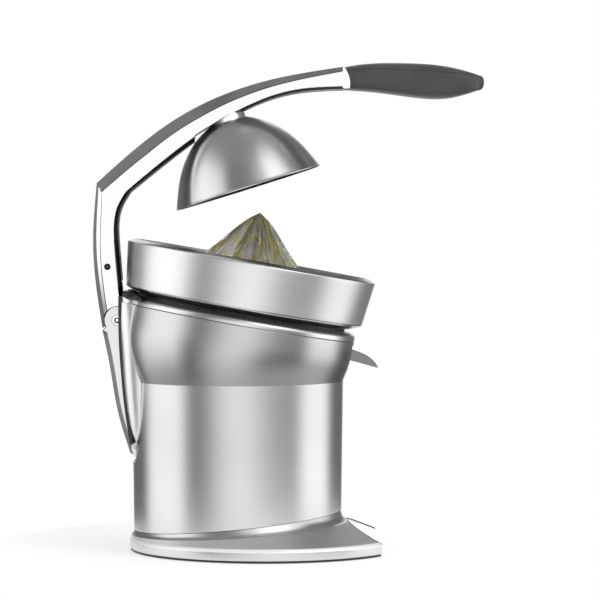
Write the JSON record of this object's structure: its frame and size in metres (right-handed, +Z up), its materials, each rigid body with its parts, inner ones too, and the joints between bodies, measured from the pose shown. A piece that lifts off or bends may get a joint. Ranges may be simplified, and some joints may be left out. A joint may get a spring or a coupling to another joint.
{
  "type": "lever citrus juice press",
  "caption": "Countertop electric citrus press: a tilted steel bowl with a ribbed cone on a tapered brushed body, and a lever arm that lowers a steel dome over the fruit.",
  "frame": {"origin": "on the surface the press stands on, under the middle of its overall box", "axes": "+X to the front, towards the spout and the grip; +Y to the far side; +Z up"},
  "size_m": [0.3563, 0.2306, 0.4442],
  "materials": {
    "cast_base": "satin",
    "black_plastic": "matt",
    "rubber": "matt",
    "brushed": "brushed across",
    "satin_cast": "satin with polished sides",
    "pin_steel": "polished",
    "smoky": "smoky, translucent",
    "nylon": "matt",
    "motor_steel": "satin",
    "grip": "satin",
    "bronze": "plain",
    "dome_steel": "brushed round",
    "bowl_steel": "brushed round"
  },
  "bodies": {
    "press_body": {"base_casting": "cast_base", "base_plate": "black_plastic", "rubber_feet": "rubber", "base_screws": "pin_steel", "body_shell": "brushed", "rear_spine": "satin_cast", "collar_ring": "brushed", "top_deck": "black_plastic", "spine_cap": "black_plastic", "tie_posts": "pin_steel", "cord_gland": "black_plastic", "juice_bowl": "bowl_steel", "strainer_basket": "bowl_steel", "idler_pin": "pin_steel", "gearbox_case": "black_plastic", "gearbox_cover": "black_plastic", "return_spring": "pin_steel", "spindle_bush": "bronze", "spindle_seal": "rubber", "motor_can": "motor_steel", "motor_stator": "motor_steel", "start_switch": "black_plastic", "motor_screws": "pin_steel", "gearbox_screws": "pin_steel", "juice_chute": "black_plastic", "spout_pins": "pin_steel", "link_pin": "pin_steel", "guide_pin": "pin_steel"},
    "thrust": {"thrust_washer": "bronze"},
    "spindle": {"drive_spindle": "pin_steel", "spindle_gear": "nylon", "reamer_cone": "smoky"},
    "idler": {"idler_gear": "nylon"},
    "rotor": {"motor_shaft": "pin_steel", "rotor_core": "motor_steel", "cooling_fan": "nylon"},
    "plunger": {"switch_plunger": "nylon"},
    "spout": {"spout": "satin_cast"},
    "rear_link": {"rear_link": "satin_cast"},
    "knuckle": {"knuckle_pin": "pin_steel"},
    "arm": {"lever_arm": "satin_cast", "arm_pin": "pin_steel", "press_dome": "dome_steel", "dome_boss": "dome_steel", "dome_screw": "pin_steel", "handle_grip": "grip", "grip_tang": "pin_steel"},
    "front_link": {"front_link": "satin_cast"}
  },
  "joints": [
    {"name": "link_swing", "type": "hinge", "parent": "press_body", "child": "rear_link", "pos_m": [-0.139, 0, 0.0961], "axis": [0, -1, 0], "range_deg": [0, 20.23]},
    {"name": "press", "type": "hinge", "parent": "rear_link", "child": "knuckle", "pos_m": [-0.1561, 0, 0.2102], "axis": [0, -1, 0], "range_deg": [-47.63, 0]},
    {"name": "lift", "type": "hinge", "parent": "knuckle", "child": "arm", "pos_m": [-0.1561, 0, 0.2102], "axis": [0, -1, 0], "range_deg": [0, 35]},
    {"name": "front_link_turn", "type": "hinge", "parent": "arm", "child": "front_link", "pos_m": [-0.1649, 0, 0.2588], "axis": [0, -1, 0], "range_deg": [0, 55.5]},
    {"name": "cone_press", "type": "slide", "parent": "press_body", "child": "thrust", "axis": [0.1736, 0, 0.9848], "range_m": [-0.0015, 0], "stiffness_N_per_m": 4000, "springref_m": 0.002},
    {"name": "spindle_spin", "type": "hinge", "parent": "thrust", "child": "spindle", "pos_m": [-0.047, 0, 0.19], "axis": [0.1736, 0, 0.9848], "continuous": true},
    {"name": "idler_spin", "type": "hinge", "parent": "press_body", "child": "idler", "pos_m": [-0.01943, 0.03523, 0.18514], "axis": [0.1736, 0, 0.9848], "continuous": true},
    {"name": "motor_spin", "type": "hinge", "parent": "press_body", "child": "rotor", "pos_m": [-0.047, 0.046, 0.19], "axis": [0.1736, 0, 0.9848], "continuous": true},
    {"name": "plunger_slide", "type": "slide", "parent": "press_body", "child": "plunger", "axis": [0.1736, 0, 0.9848], "range_m": [-0.0015, 0]},
    {"name": "spout_tilt", "type": "hinge", "parent": "press_body", "child": "spout", "pos_m": [0.0505, 0, 0.1785], "axis": [0, -1, 0], "range_deg": [0, 15]}
  ],
  "couplings": [
    {"joint": "link_swing", "follows": "press", "ratio": -0.4247},
    {"joint": "front_link_turn", "follows": "press", "ratio": -1.165},
    {"joint": "idler_spin", "follows": "spindle_spin", "ratio": -4},
    {"joint": "motor_spin", "follows": "spindle_spin", "ratio": 16},
    {"joint": "plunger_slide", "follows": "cone_press", "ratio": 1}
  ]
}
